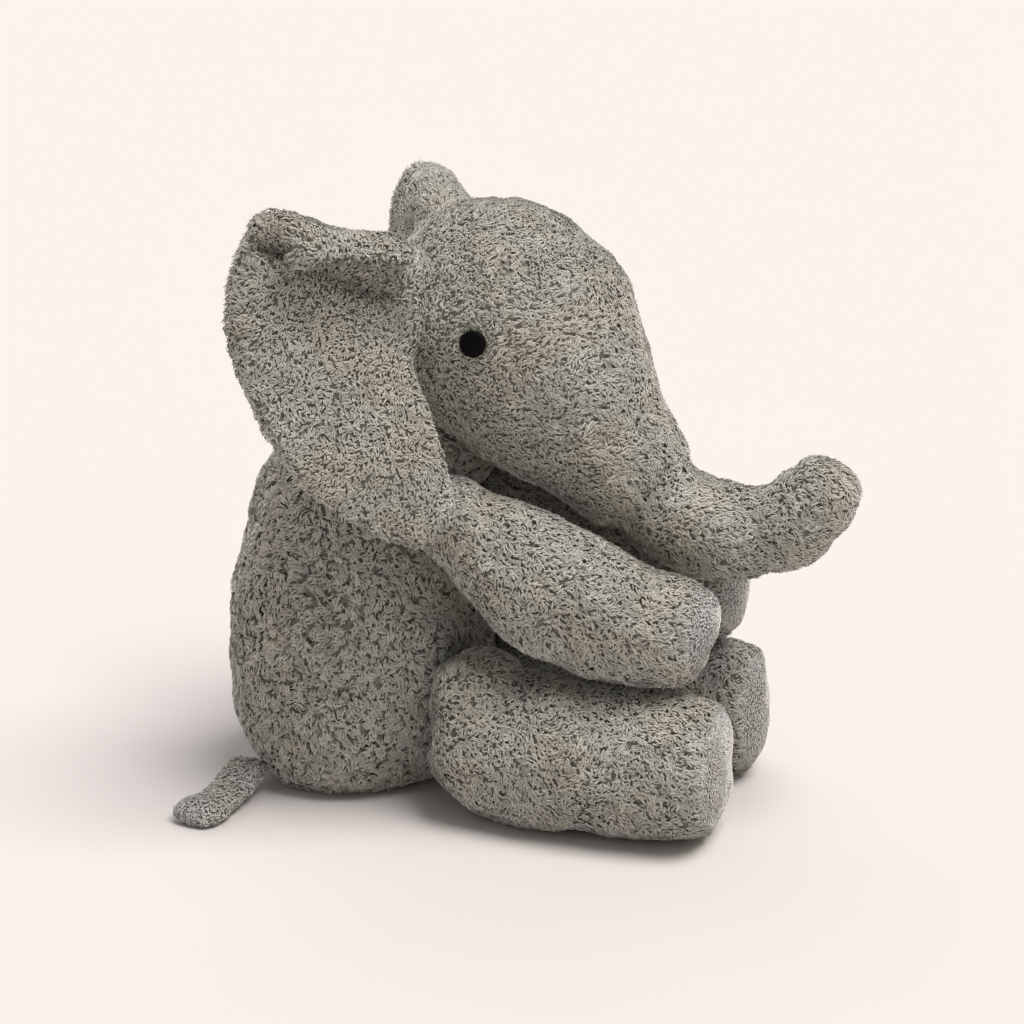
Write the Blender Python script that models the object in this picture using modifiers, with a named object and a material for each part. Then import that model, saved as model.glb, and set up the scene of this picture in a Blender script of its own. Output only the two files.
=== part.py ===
"""Sitting plush elephant, built as sewn covers over stuffing, with pads, eyes, ears, trunk segments and tail.

Every measure in the tables is in millimetres and is written as (x, forward, up): x runs to the toy's left,
forward is the way it faces, up is away from the floor.  The scene itself is in metres with +Z up, the toy
faces -Y, and the origin is on the floor under the middle of the seat.
"""

import math

import bmesh
import bpy
from mathutils import Vector

# ---------------------------------------------------------------- driving dimensions, millimetres
MM = 0.001
COVER = 1.8            # plush backing cloth with the root of its pile
SEAM = 1.6             # groove where two panels are sewn together
BUTT = 0.6             # gap between a cover and the pad that closes it
FILL_CLEAR = 1.6       # room between a cover's inner wall and the stuffing
PAD_RISE = 7.0         # how far a sole or paw pad bulges

SEAT_RADIUS = 40.0
SEAT_THICK = 2.2
PELLET_RADIUS = 34.0

EYE_RADIUS = 6.2
EYE_THICK = 2.6
EYE_POINT = (-56.8, 84.0, 240.0)

EAR_LAYER = 2.0        # one cloth layer of an ear
EAR_PADDING = 3.4      # wadding between the two layers
EAR_LAYER_GAP = 1.0
EAR_FOLD_START = 7     # the wadding stops at this row, below the fold

NECK = (0.0, 40.0, 196.0)
SHOULDER = (-44.0, 66.0, 152.0)
HIP = (-44.0, 92.0, 37.0)
TRUNK_ROOT = (0.0, 157.0, 159.0)
TRUNK_MIDDLE = (0.0, 206.0, 142.5)
EAR_ROOT_LOW = (-49.0, 48.0, 230.0)
TAIL_ROOT = (-38.0, -41.0, 12.0)

# Each row: x, forward, up, half width across the body, half height of the section.
TORSO = [
    (0, 0, 3.0, 42, 42),
    (0, 0, 9.0, 51, 50.5),
    (0, 1, 24.0, 59.5, 59.5),
    (0, 4, 48.0, 64, 66.5),
    (0, 6, 78.0, 64.5, 69),
    (0, 6, 108.0, 61, 65),
    (0, 7, 136.0, 55, 57.5),
    (0, 11, 160.0, 47, 49.5),
    (0, 17, 176.0, 38.5, 39),
    (0, 27, 186.5, 29, 29.5),
    (0, 35, 191.8, 21, 21.5),
]
HEAD = [
    (0, 43.0, 287.0, 15, 16),
    (0, 48.5, 281.0, 31, 33),
    (0, 60.0, 267.0, 46, 50.5),
    (0, 73.0, 251.5, 53.5, 59),
    (0, 88.0, 234.0, 55, 61.5),
    (0, 105.0, 215.0, 50, 55.5),
    (0, 122.0, 196.0, 41, 42.5),
    (0, 139.0, 177.5, 32.5, 33.5),
    (0, 155.0, 161.0, 27.5, 27),
]
TRUNK_BASE = [
    (0, 147.0, 166.0, 11, 11),
    (0, 150.5, 163.3, 19, 19),
    (0, 158.0, 157.5, 22.6, 22.6),
    (0, 168.0, 150.0, 23.0, 23.4),
    (0, 180.0, 144.8, 22.6, 22.8),
    (0, 192.0, 142.3, 22.6, 22.6),
    (0, 201.0, 142.0, 22.4, 22.4),
]
TRUNK_END = [
    (0, 196.5, 141.0, 9, 9),
    (0, 199.5, 141.4, 13.6, 13.6),
    (0, 205.0, 142.6, 15.8, 15.8),
    (0, 214.0, 145.0, 18.8, 19.0),
    (0, 226.0, 150.5, 19.6, 19.6),
    (0, 236.5, 159.0, 18.8, 18.6),
    (0, 243.5, 168.0, 17.0, 16.6),
    (0, 246.5, 172.5, 15.4, 14.8),
]
ARM = [
    (-44, 50.0, 158.5, 8, 8),
    (-44, 54.0, 156.8, 15, 15),
    (-44.5, 66.0, 152.0, 18, 19),
    (-46.5, 86.0, 143.0, 21, 23.5),
    (-48.5, 106.0, 128.5, 25.5, 30),
    (-48, 131.0, 115.5, 27.5, 33),
    (-45, 155.0, 107.5, 27, 31.5),
    (-41.5, 176.0, 103.5, 24, 27),
    (-39.0, 190.0, 102.0, 19.5, 21.5),
]
LEG = [
    (-44, 60.5, 38.0, 12, 12),
    (-44, 65.0, 38.0, 22.5, 22.5),
    (-44, 77.0, 39.0, 31.5, 33.8),
    (-44.5, 97.0, 38.4, 34.5, 37.2),
    (-45.5, 125.0, 37.0, 34.5, 36.0),
    (-46.5, 155.0, 36.3, 34.8, 35.6),
    (-47.2, 182.0, 36.3, 34.8, 35.6),
    (-47.5, 199.0, 36.3, 31.5, 32.5),
]
# Each row: the ear's inner edge point, then its outer edge point, from the hanging tip up and over the fold.
EAR = [
    ((-79.5, 81, 157), (-86, 67, 153)),
    ((-77, 84, 166), (-91, 49, 159)),
    ((-74, 81, 178), (-98, 31, 174)),
    ((-68, 72, 193), (-105, 12, 192)),
    ((-58, 57, 211), (-111, -3, 214)),
    ((-50, 48, 233), (-115, -12, 238)),
    ((-46, 46, 255), (-116, -14, 261)),
    ((-46, 46, 268), (-114, -11.5, 288)),
    ((-51.5, 44.5, 280), (-104, -1, 305.5)),
    ((-62, 52, 279), (-104, 13.5, 304)),
    ((-62.5, 54.5, 264), (-106, 12.5, 293)),
]
# Each row: x, forward, up, half width of the strap.
TAIL = [
    (-42, -42.0, 12.6, 13.0),
    (-43, -42.0, 12.4, 13.0),
    (-55, -41.2, 9.8, 12.8),
    (-70, -41.2, 7.2, 12.2),
    (-82, -42.8, 5.8, 12.2),
    (-83, -43.0, 5.7, 12.2),
]
TAIL_TIP = [
    (-84, -43.2, 5.6, 12.6),
    (-85, -43.4, 5.6, 12.8),
    (-92, -44.8, 5.6, 14.6),
    (-100, -46.8, 5.6, 14.2),
    (-105, -48.2, 5.4, 11.0),
]
TAIL_THICK = 7.0
TAIL_TIP_THICK = 8.6

# Section of the tail's flat band, in shares of its half width and half thickness.
BAND_SECTION = [
    (1.0, 0.0),
    (0.72, 0.95),
    (0.0, 1.0),
    (-0.72, 0.95),
    (-1.0, 0.0),
    (-0.72, -0.95),
    (0.0, -1.0),
    (0.72, -0.95),
]

GREY_PLUSH = (0.30, 0.285, 0.25, 1.0)
PALE_PILE = (0.42, 0.405, 0.37, 1.0)
STUFFING_WHITE = (0.82, 0.81, 0.78, 1.0)
PELLET_CLOTH = (0.72, 0.69, 0.62, 1.0)
EYE_BLACK = (0.012, 0.012, 0.012, 1.0)

LATERAL = Vector((1.0, 0.0, 0.0))
HALF_TURN = 180.0


# ---------------------------------------------------------------- small helpers
def at(x, forward, up):
    """A table point in scene metres."""
    return Vector((x, -forward, up)) * MM


def mirrored(rows):
    """The same table for the toy's left side."""
    return [(-row[0],) + tuple(row[1:]) for row in rows]


def mirrored_pairs(rows):
    """The ear table for the toy's left side."""
    return [tuple((-x, f, u) for x, f, u in pair) for pair in rows]


def clear_scene():
    for item in list(bpy.data.objects):
        bpy.data.objects.remove(item, do_unlink=True)


def make_material(name, colour, roughness):
    material = bpy.data.materials.new(name)
    material.use_nodes = True
    shader = material.node_tree.nodes["Principled BSDF"]
    shader.inputs["Base Color"].default_value = colour
    shader.inputs["Roughness"].default_value = roughness
    shader.inputs["Metallic"].default_value = 0.0
    material.diffuse_color = colour
    return material


def add_node(mesh, name, colour, roughness=0.95):
    """Puts a mesh into the toy's collection under its own name and its own material."""
    node = bpy.data.objects.new(name, mesh)
    node.data.materials.append(make_material(name, colour, roughness))
    bpy.data.collections["plush_elephant"].objects.link(node)
    return node


def subdivide(node, levels):
    modifier = node.modifiers.new("round", "SUBSURF")
    modifier.levels = levels
    modifier.render_levels = levels
    modifier.boundary_smooth = "PRESERVE_CORNERS"


def thicken(node, thickness, offset):
    modifier = node.modifiers.new("cloth", "SOLIDIFY")
    modifier.thickness = thickness * MM
    modifier.offset = offset
    modifier.use_even_offset = False
    modifier.use_rim = True


# ---------------------------------------------------------------- sections along a path
def path_frames(centres, side_hints):
    """The side and up directions of the section at each centre, square to the path."""
    frames = []
    for i, centre in enumerate(centres):
        before = centres[max(i - 1, 0)]
        after = centres[min(i + 1, len(centres) - 1)]
        along = (after - before).normalized()
        side = side_hints[i] - along * side_hints[i].dot(along)
        side.normalize()
        frames.append((side, along.cross(side)))
    return frames


def section_points(centre, side, up, half_w, half_h, angles, cage):
    """Points of one elliptical section; inner angles are pushed out to allow for the rounding of the cage."""
    points = []
    for k, angle in enumerate(angles):
        on_seam = cage["open"] and k in (0, len(angles) - 1)
        grow = 1.0 if on_seam else cage["grow"]
        c, s = math.cos(math.radians(angle)), math.sin(math.radians(angle))
        shift = side * (cage["shift"] * MM)
        points.append(centre + shift + side * (c * half_w * grow * MM) + up * (s * half_h * grow * MM))
    return points


def skin_mesh(name, rings, closed, cap_start, cap_end):
    """Faces between neighbouring rings, with the ring order giving outward faces."""
    mesh = bmesh.new()
    verts = [[mesh.verts.new(p) for p in ring] for ring in rings]
    count = len(verts[0])
    last = count if closed else count - 1
    for low, high in zip(verts, verts[1:]):
        for k in range(last):
            nxt = (k + 1) % count
            mesh.faces.new((low[k], low[nxt], high[nxt], high[k]))
    if cap_start:
        mesh.faces.new(list(reversed(verts[0])))
    if cap_end:
        mesh.faces.new(verts[-1])
    data = bpy.data.meshes.new(name)
    mesh.to_mesh(data)
    mesh.free()
    return data


def ring_cage(rows, angles, cage, inset=0.0):
    """Rings for a table of (x, forward, up, half width, half height) rows."""
    centres = [at(*row[:3]) for row in rows]
    frames = path_frames(centres, [LATERAL] * len(rows))
    rings = []
    for row, centre, (side, up) in zip(rows, centres, frames):
        half_w = max(row[3] - inset, 1.0)
        half_h = max(row[4] - inset, 1.0)
        rings.append(section_points(centre, side, up, half_w, half_h, angles, cage))
    return rings


def grow_for(step):
    """How much a cage with this angle step shrinks when it is rounded once."""
    return 8.0 / (6.0 + 2.0 * math.cos(math.radians(step)))


def cover_panel(name, rows, start, stop, step, cap_start=False, shift=0.0, colour=GREY_PLUSH):
    """One sewn cover panel: the part of the skin between two section angles, thickened inwards."""
    count = int(round((stop - start) / step))
    angles = [start + step * k for k in range(count + 1)]
    cage = {"open": True, "grow": grow_for(step), "shift": shift}
    rings = ring_cage(rows, angles, cage)
    node = add_node(skin_mesh(name, rings, False, cap_start, False), name, colour)
    subdivide(node, 1)
    thicken(node, COVER, -1.0)
    return node


def cover_halves(left_name, right_name, rows, step):
    """Two cover halves that meet in a seam along the top and the bottom of the path."""
    quarter = HALF_TURN / 2
    return [
        cover_panel(left_name, rows, -quarter, quarter, step, shift=SEAM / 2),
        cover_panel(right_name, rows, quarter, quarter + HALF_TURN, step, shift=-SEAM / 2),
    ]


def stuffing(name, rows, first, last, step, clear=FILL_CLEAR, colour=STUFFING_WHITE):
    """A closed core a little way inside a cover, from one of its sections to another."""
    count = int(round(360.0 / step))
    cage = {"open": False, "grow": grow_for(step), "shift": 0.0}
    rings = ring_cage(rows, [step * k for k in range(count)], cage, inset=COVER + clear)[first:last]
    node = add_node(skin_mesh(name, rings, True, True, True), name, colour, roughness=1.0)
    subdivide(node, 1)
    return node


def end_pad(name, rows, rise, colour=PALE_PILE):
    """A domed cloth pad that closes the end of a limb cover."""
    end, before = Vector(rows[-1][:3]), Vector(rows[-2][:3])
    out = (end - before).normalized()
    half_w, half_h = rows[-1][3], rows[-1][4]
    steps = ((0.0, 1.0), (0.7, 0.82), (1.0, 0.36))
    pad_rows = []
    for lift, share in steps:
        centre = end + out * (BUTT + COVER * 0.5 + lift * rise)
        pad_rows.append((centre.x, centre.y, centre.z, half_w * share, half_h * share))
    cage = {"open": False, "grow": grow_for(45.0), "shift": 0.0}
    rings = ring_cage(pad_rows, [45.0 * k for k in range(8)], cage)
    node = add_node(skin_mesh(name, rings, True, False, True), name, colour, roughness=0.85)
    subdivide(node, 1)
    thicken(node, COVER, -1.0)
    return node


# ---------------------------------------------------------------- torso
def build_seat():
    bpy.ops.mesh.primitive_cylinder_add(
        vertices=24,
        radius=SEAT_RADIUS * MM,
        depth=SEAT_THICK * MM,
        location=(0.0, 0.0, SEAT_THICK * MM / 2),
    )
    seat = bpy.context.object
    seat.name = "seat_panel"
    bevel = seat.modifiers.new("edge", "BEVEL")
    bevel.width = 0.8 * MM
    bevel.segments = 2
    seat.data.materials.append(make_material("seat_panel", GREY_PLUSH, 0.95))
    bpy.context.collection.objects.unlink(seat)
    bpy.data.collections["plush_elephant"].objects.link(seat)
    return seat


def build_pellet_bag():
    rows = [
        (0, 0, 5.0, PELLET_RADIUS * 0.82, PELLET_RADIUS * 0.82),
        (0, 0, 9.0, PELLET_RADIUS, PELLET_RADIUS),
        (0, 0, 17.0, PELLET_RADIUS, PELLET_RADIUS),
        (0, 0, 22.0, PELLET_RADIUS * 0.8, PELLET_RADIUS * 0.8),
    ]
    cage = {"open": False, "grow": grow_for(30.0), "shift": 0.0}
    rings = ring_cage(rows, [30.0 * k for k in range(12)], cage)
    bag = add_node(skin_mesh("pellet_bag", rings, True, True, True), "pellet_bag", PELLET_CLOTH)
    subdivide(bag, 1)
    return bag


def build_torso():
    return [
        *cover_halves("body_cover_left", "body_cover_right", TORSO, 30.0),
        build_seat(),
        build_pellet_bag(),
        stuffing("body_stuffing", TORSO, 2, 9, 30.0),
    ]


# ---------------------------------------------------------------- head
def build_eye(name, x_sign):
    x, forward, up = EYE_POINT
    bpy.ops.mesh.primitive_cylinder_add(
        vertices=14,
        radius=EYE_RADIUS * MM,
        depth=EYE_THICK * MM,
        location=at(x * -x_sign, forward, up),
        rotation=(0.0, math.radians(90.0), 0.0),
    )
    eye = bpy.context.object
    eye.name = name
    bevel = eye.modifiers.new("stitched_edge", "BEVEL")
    bevel.width = 0.9 * MM
    bevel.segments = 2
    eye.data.materials.append(make_material(name, EYE_BLACK, 0.7))
    bpy.context.collection.objects.unlink(eye)
    bpy.data.collections["plush_elephant"].objects.link(eye)
    return eye


def build_head():
    """Two side panels and a gusset that runs from the nape over the crown to the brow."""
    return [
        cover_panel("head_side_left", HEAD, -90.0, 60.0, 30.0, True, SEAM / 2 + 0.1),
        cover_panel("head_side_right", HEAD, 120.0, 270.0, 30.0, True, -SEAM / 2 - 0.1),
        stuffing("head_stuffing", HEAD, 1, 8, 30.0, clear=2.4),
        build_eye("eye_left", 1.0),
        build_eye("eye_right", -1.0),
    ]


# ---------------------------------------------------------------- trunk
def build_trunk_base():
    return [
        *cover_halves("trunk_base_left", "trunk_base_right", TRUNK_BASE, 45.0),
        stuffing("trunk_base_stuffing", TRUNK_BASE, 1, 6, 45.0),
    ]


def build_trunk_end():
    return [
        *cover_halves("trunk_end_left", "trunk_end_right", TRUNK_END, 45.0),
        stuffing("trunk_end_stuffing", TRUNK_END, 1, 8, 45.0),
        end_pad("trunk_tip_pad", TRUNK_END, 3.0, GREY_PLUSH),
    ]


# ---------------------------------------------------------------- arms and legs
def build_limb(prefix, rows, halves, pad_name, pad_rise):
    return [
        *cover_halves(f"{prefix}_{halves[0]}", f"{prefix}_{halves[1]}", rows, 45.0),
        stuffing(f"{prefix}_stuffing", rows, 1, len(rows), 45.0),
        end_pad(f"{prefix}_{pad_name}", rows, pad_rise),
    ]


# ---------------------------------------------------------------- ears
def ear_sheet(name, pairs, offset, thickness, margin, colour):
    """One layer of an ear: a strip of quads that follows the ear's sections, thickened about its middle."""
    inner = [at(*a) for a, b in pairs]
    outer = [at(*b) for a, b in pairs]
    centres = [(a + b) / 2 for a, b in zip(inner, outer)]
    frames = path_frames(centres, [(b - a).normalized() for a, b in zip(inner, outer)])
    columns = 4
    rings = []
    for a, b, centre, (side, up) in zip(inner, outer, centres, frames):
        half = ((b - a).length / 2 - margin * MM) * 0.995
        lift = up * (offset * MM)
        rings.append([centre + lift + side * (half * (2 * k / (columns - 1) - 1)) for k in range(columns)])
    node = add_node(skin_mesh(name, rings, False, False, False), name, colour)
    subdivide(node, 1)
    thicken(node, thickness, 0.0)
    return node


def build_ear(side_name, pairs, front_sign):
    reach = (EAR_PADDING + EAR_LAYER) / 2 + EAR_LAYER_GAP
    return [
        ear_sheet(f"ear_{side_name}_front", pairs, front_sign * reach, EAR_LAYER, 0.0, GREY_PLUSH),
        ear_sheet(f"ear_{side_name}_padding", pairs[:EAR_FOLD_START], 0.0, EAR_PADDING, 4.0, STUFFING_WHITE),
        ear_sheet(f"ear_{side_name}_back", pairs, -front_sign * reach, EAR_LAYER, 0.0, GREY_PLUSH),
    ]


# ---------------------------------------------------------------- tail
def tail_piece(name, rows, thickness):
    """A flat band with a rounded section, lying along the floor."""
    centres = [at(*row[:3]) for row in rows]
    frames = path_frames(centres, [Vector((0.0, 1.0, 0.0))] * len(rows))
    rings = []
    for row, centre, (side, up) in zip(rows, centres, frames):
        half_w, half_h = row[3] * MM, thickness / 2 * MM
        rings.append([centre + side * (c * half_w) + up * (s * half_h) for c, s in BAND_SECTION])
    node = add_node(skin_mesh(name, rings, True, True, True), name, PALE_PILE, roughness=0.9)
    subdivide(node, 1)
    return node


# ---------------------------------------------------------------- joints
def hinge_empty(name, point, pieces):
    """An empty on a joint's axis that carries the pieces of one moving body."""
    empty = bpy.data.objects.new(name, None)
    empty.location = at(*point)
    bpy.data.collections["plush_elephant"].objects.link(empty)
    bpy.context.view_layer.update()
    for piece in pieces:
        piece.parent = empty
        piece.matrix_parent_inverse = empty.matrix_world.inverted()
    return empty


def flip(point):
    return (-point[0],) + tuple(point[1:])


def main():
    clear_scene()
    toy = bpy.data.collections.new("plush_elephant")
    bpy.context.scene.collection.children.link(toy)

    build_torso()
    head = build_head()
    head.append(cover_panel("head_gusset", HEAD, 60.0, 120.0, 30.0, True))
    hinge_empty("neck_axis", NECK, head)
    hinge_empty("trunk_root_axis", TRUNK_ROOT, build_trunk_base())
    hinge_empty("trunk_middle_axis", TRUNK_MIDDLE, build_trunk_end())

    hinge_empty("ear_right_axis", EAR_ROOT_LOW, build_ear("right", EAR, 1.0))
    hinge_empty("ear_left_axis", flip(EAR_ROOT_LOW), build_ear("left", mirrored_pairs(EAR), -1.0))

    arm_halves = {"right": ("inner", "outer"), "left": ("outer", "inner")}
    for side_name, mirror in (("right", False), ("left", True)):
        arm_rows = mirrored(ARM) if mirror else ARM
        leg_rows = mirrored(LEG) if mirror else LEG
        arm = build_limb(f"arm_{side_name}", arm_rows, arm_halves[side_name], "paw_pad", PAD_RISE)
        leg = build_limb(f"leg_{side_name}", leg_rows, arm_halves[side_name], "sole_pad", PAD_RISE)
        hinge_empty(f"shoulder_{side_name}_axis", flip(SHOULDER) if mirror else SHOULDER, arm)
        hinge_empty(f"hip_{side_name}_axis", flip(HIP) if mirror else HIP, leg)

    tail = [tail_piece("tail_strap", TAIL, TAIL_THICK), tail_piece("tail_tip", TAIL_TIP, TAIL_TIP_THICK)]
    hinge_empty("tail_root_axis", TAIL_ROOT, tail)


main()
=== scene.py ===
"""Looks for the sitting plush elephant: soft sewn forms under a curly pile, short-pile pads, satin-stitched eyes.

Soft skins are made from the CAD solids, creased and made uneven. Closed tufts of pile are grown on them as real
geometry. The eyes are low domes of thread. Places are written as (x, forward, up) in millimetres and turned into
scene metres by at().
"""

import math

import bmesh
import bpy
import numpy as np
from mathutils import Matrix, Vector, bvhtree, kdtree


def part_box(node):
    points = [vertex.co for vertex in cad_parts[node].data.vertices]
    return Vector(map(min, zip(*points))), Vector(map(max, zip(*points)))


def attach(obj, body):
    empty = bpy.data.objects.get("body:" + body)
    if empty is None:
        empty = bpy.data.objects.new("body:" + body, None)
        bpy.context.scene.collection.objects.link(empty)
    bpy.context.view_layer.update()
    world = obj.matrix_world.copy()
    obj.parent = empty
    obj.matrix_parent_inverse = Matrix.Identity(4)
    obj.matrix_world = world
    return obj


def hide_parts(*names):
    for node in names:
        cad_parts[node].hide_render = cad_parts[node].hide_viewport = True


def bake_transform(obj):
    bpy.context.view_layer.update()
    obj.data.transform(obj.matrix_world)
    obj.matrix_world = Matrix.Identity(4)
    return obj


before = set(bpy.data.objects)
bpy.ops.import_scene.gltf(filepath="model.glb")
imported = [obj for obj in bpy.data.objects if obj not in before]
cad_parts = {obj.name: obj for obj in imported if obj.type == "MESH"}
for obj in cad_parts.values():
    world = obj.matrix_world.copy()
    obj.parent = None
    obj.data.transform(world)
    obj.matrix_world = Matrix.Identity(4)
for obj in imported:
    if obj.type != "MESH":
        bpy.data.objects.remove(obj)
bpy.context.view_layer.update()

# ---------------------------------------------------------------- driving measures
MM = 0.001
FLOOR_CLEAR = 0.3 * MM
CLOTH_PRESSURE = 4.0
CLOTH_FRAMES = 20
RELAX_STEP = 0.5
RELAX_REBOUND = 1.02
NOISE_WAVES = 9

# Unevenness of the filling under the cloth, in mm: broad lumps and fine ones.
TAIL_LUMPS = (0.3, 0.15)
EAR_LUMPS = (0.9, 0.4)
BODY_LUMPS = (1.2, 0.5)
BROAD_LUMP_SIZE = 48 * MM
FINE_LUMP_SIZE = 17 * MM

# ---------------------------------------------------------------- pile
PILE_SPACING = 1.17 * MM
PAD_SPACING = 0.95 * MM
TAIL_SPACING = 1.0 * MM
# Random points tried for each cell of that spacing, so that few cells stay empty.
OVERSAMPLE = 3.4
# Nothing grows deeper than this inside a neighbour.
HIDDEN_DEPTH = 3.0 * MM
# Share of the skin's normal in the shading of a tuft.
LIGHT_WRAP = 0.6
TUFTS_PER_PIECE = 19500

# Each pile: how high and how far over a tuft reaches, its sideways curl, width, clump size, pull to the clump's
# middle, and how much its direction swirls from clump to clump and strays from tuft to tuft.
CURLY = dict(lift=2.35, lean=3.3, curl=0.9, width=1.20, clump=3.2, gather=0.18, swirl=0.45, stray=0.42)
CURLIER = dict(CURLY, lift=2.6, clump=4.2, gather=0.34, swirl=0.75)
SHORT = dict(lift=1.0, lean=1.7, curl=0.2, width=0.80, clump=2.4, gather=0.2, swirl=0.25, stray=0.30)
STRAP = dict(lift=1.4, lean=2.3, curl=0.5, width=0.90, clump=2.6, gather=0.3, swirl=0.30, stray=0.30)

# A tuft is a closed three-sided spike. Its stations are the base, the belly and the tip; each row gives the share
# of lift, lean, curl, pull and width that is reached there.
STATIONS = ((-0.12, -0.05, 0.0, 0.0, 0.7), (0.75, 0.38, 1.0, 0.6, 1.0), (0.92, 1.1, -0.5, 1.0, 0.0))
TUFT_FLATNESS = 0.7
TUFT_SIDES = ((0, 1), (1, 2), (2, 0))
TUFT_FACES = (
    [(a, b, b + 3, a + 3) for a, b in TUFT_SIDES]
    + [(a + 3, b + 3, 6) for a, b in TUFT_SIDES]
    + [(0, 2, 1)]
)
TUFT_ALONG = np.array([0.0] * 3 + [0.5] * 3 + [1.0], np.float32)

# Pile round the eyes, in mm from an eye's middle: where it is bare, shortest and at full length, and where the comb
# runs straight out and where it is the head's own again.
EYE_BARE = 5.8
EYE_SHORTEST = 6.0
EYE_FULL = 12.0
EYE_COMBED = 6.5
EYE_UNCOMBED = 9.5

# Share of the full pile length.
EAR_LENGTH = 0.88
EAR_CREASE_SHORTER = 0.4
PAD_SHORTER = 0.62

# ---------------------------------------------------------------- eyes
EYE_RINGS = 16
EYE_SPOKES = 96
EYE_SPREAD = 1.02
EYE_DOME = 1.2 * MM
EYE_SINK = 0.4 * MM
THREAD_PITCH = 0.85 * MM
THREAD_RELIEF = 0.2 * MM
THREAD_TILT = math.radians(25.0)

# ---------------------------------------------------------------- colours, linear
# Each pile darkens from tip to root: partly its own colour, partly painted shade deep in the pile.
PILE_ROOT = (0.240, 0.229, 0.190, 1.0)
PILE_MID = (0.315, 0.302, 0.256, 1.0)
PILE_TIP = (0.540, 0.526, 0.462, 1.0)
PAD_ROOT = (0.480, 0.466, 0.435, 1.0)
PAD_MID = (0.560, 0.545, 0.512, 1.0)
PAD_TIP = (0.640, 0.624, 0.590, 1.0)
# The backing is darker than the pile, partly as painted shade deep between the tufts.
BACKING_DARK = (0.190, 0.181, 0.157, 1.0)
BACKING_LIGHT = (0.290, 0.277, 0.243, 1.0)
WARMER = (1.03, 1.0, 0.95, 1.0)
COOLER = (0.97, 1.0, 1.02, 1.0)
THREAD_BLACK = (0.002, 0.002, 0.002, 1.0)
THREAD_LINT = (0.004, 0.004, 0.004, 1.0)
FLOOR_PALE = (0.715, 0.683, 0.664, 1.0)
STUDIO_WHITE = (1.0, 0.965, 0.95, 1.0)

# How far the pile's brightness strays from its colour, and the pile's answer to light.
PILE_SPREAD = 0.30
PAD_SPREAD = 0.12
PILE_FINISH = {
    "Roughness": 0.9,
    "Specular IOR Level": 0.2,
    "Subsurface Weight": 0.4,
    "Subsurface Radius": (1.0, 0.97, 0.92),
    "Subsurface Scale": 1.1 * MM,
    "Sheen Weight": 1.0,
    "Sheen Roughness": 0.4,
    "Sheen Tint": (1.0, 0.97, 0.92, 1.0),
}

# ---------------------------------------------------------------- studio
VIEW_AZIMUTH = math.radians(-73.0)
VIEW_ELEVATION = math.radians(15.0)
VIEW_DISTANCE = 1.2
VIEW_WIDTH = 0.512
VIEW_MIDDLE = (0.0, -0.08587, 0.14426)
SENSOR_WIDTH = 36.0
FLOOR_REACH = 30.0
WORLD_STRENGTH = 0.36
# Each sun: where it stands, its strength, and its width in degrees.
KEY_SUN = ((-0.18, -0.52, 1.15), 3.1, 36.0)
BACK_SUN = ((0.60, 0.35, 0.9), 0.45, 40.0)

# ---------------------------------------------------------------- places on the toy, (x, forward, up) in mm
# Pinched lines: the fold under the ear's rolled top, one across the body's side, two along the tail.
EAR_CREASE = ((-108, 1, 289.5), (-99.5, 8.5, 284), (-88, 18, 278), (-77, 27.5, 271.5), (-58, 43, 261))
BODY_CREASE = ((-62, -5, 77), (-62, 11, 63), (-62, 32, 52), (-60, 52, 39), (-56, 73, 29))
TAIL_CREASES = (((-48, -37, 16), (-80, -38, 11)), ((-48, -46, 16), (-80, -47, 11)))
# Depth and width of each kind of crease.
EAR_PINCH = (5.5 * MM, 4.0 * MM)
BODY_PINCH = (3.0 * MM, 5.0 * MM)
TAIL_PINCH = (1.4 * MM, 1.6 * MM)

# Soft ellipsoids, middle and radii, that close the hollows between CAD solids that stand apart for their joints.
EAR_FILLERS = (((-41, 46, 266), (13, 9, 17)), ((-44, 49, 244), (10, 8, 20)))
CROWN_FILLER = ((0, 51, 277), (27, 16, 16))
NECK_FILLER = ((0, 50, 172), (36, 25, 20))
TRUNK_FILLER = ((0, 206, 143.5), (20.5, 15, 20.5))
HAUNCH_FILLER = ((-43, 83, 56), (27, 23, 27))

# The plane that cuts the head's skin from the trunk's, and the way it faces.
TRUNK_CUT = (0, 181, 145)
TRUNK_CUT_FACING = (0, 0.97, -0.24)

# Where each part's pile runs away from; for the ears and limbs, the place for the left one.
BODY_WHORL = (0, 20, 230)
HEAD_WHORL = (0, 12, 205)
EAR_WHORL = (40, 52, 262)
LIMB_WHORLS = {"arm": (44, 50, 160), "leg": (44, 50, 60)}
TAIL_WHORL = (-20, -40, 20)


# ---------------------------------------------------------------- number helpers
def way(x, forward, up):
    """A direction given as (x, forward, up), in scene axes."""
    return np.array((x, -forward, up), float)


def at(x, forward, up):
    """A place given in millimetres as (x, forward, up), in scene metres."""
    return way(x, forward, up) * MM


def unit_rows(a):
    return a / np.maximum(np.linalg.norm(a, axis=1, keepdims=True), 1e-12)


def dots(a, b):
    return np.einsum("ij,ij->i", a, b)


def flattened(vectors, normals):
    """What is left of the vectors in the plane across the normals."""
    return vectors - normals * dots(vectors, normals)[:, None]


def smoothstep(value):
    value = np.clip(value, 0.0, 1.0)
    return value * value * (3 - 2 * value)


def wave_noise(points, size, seed):
    """Smooth noise in about -1..1: a sum of plane waves of about this wavelength in random directions."""
    rng = np.random.default_rng(seed)
    directions = unit_rows(rng.normal(size=(NOISE_WAVES, 3)))
    lengths = size * rng.uniform(0.7, 1.5, NOISE_WAVES)
    phases = rng.uniform(0, 2 * math.pi, NOISE_WAVES)
    angle = points @ (directions / lengths[:, None]).T * (2 * math.pi) + phases
    return np.sin(angle).sum(axis=1) / math.sqrt(NOISE_WAVES)


def cell_keys(points, size):
    """One number for each point, the same for points in the same cubic cell."""
    cells = np.floor(points / size).astype(np.int64)
    return cells[:, 0] * 73856093 ^ cells[:, 1] * 19349663 ^ cells[:, 2] * 83492791


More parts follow.
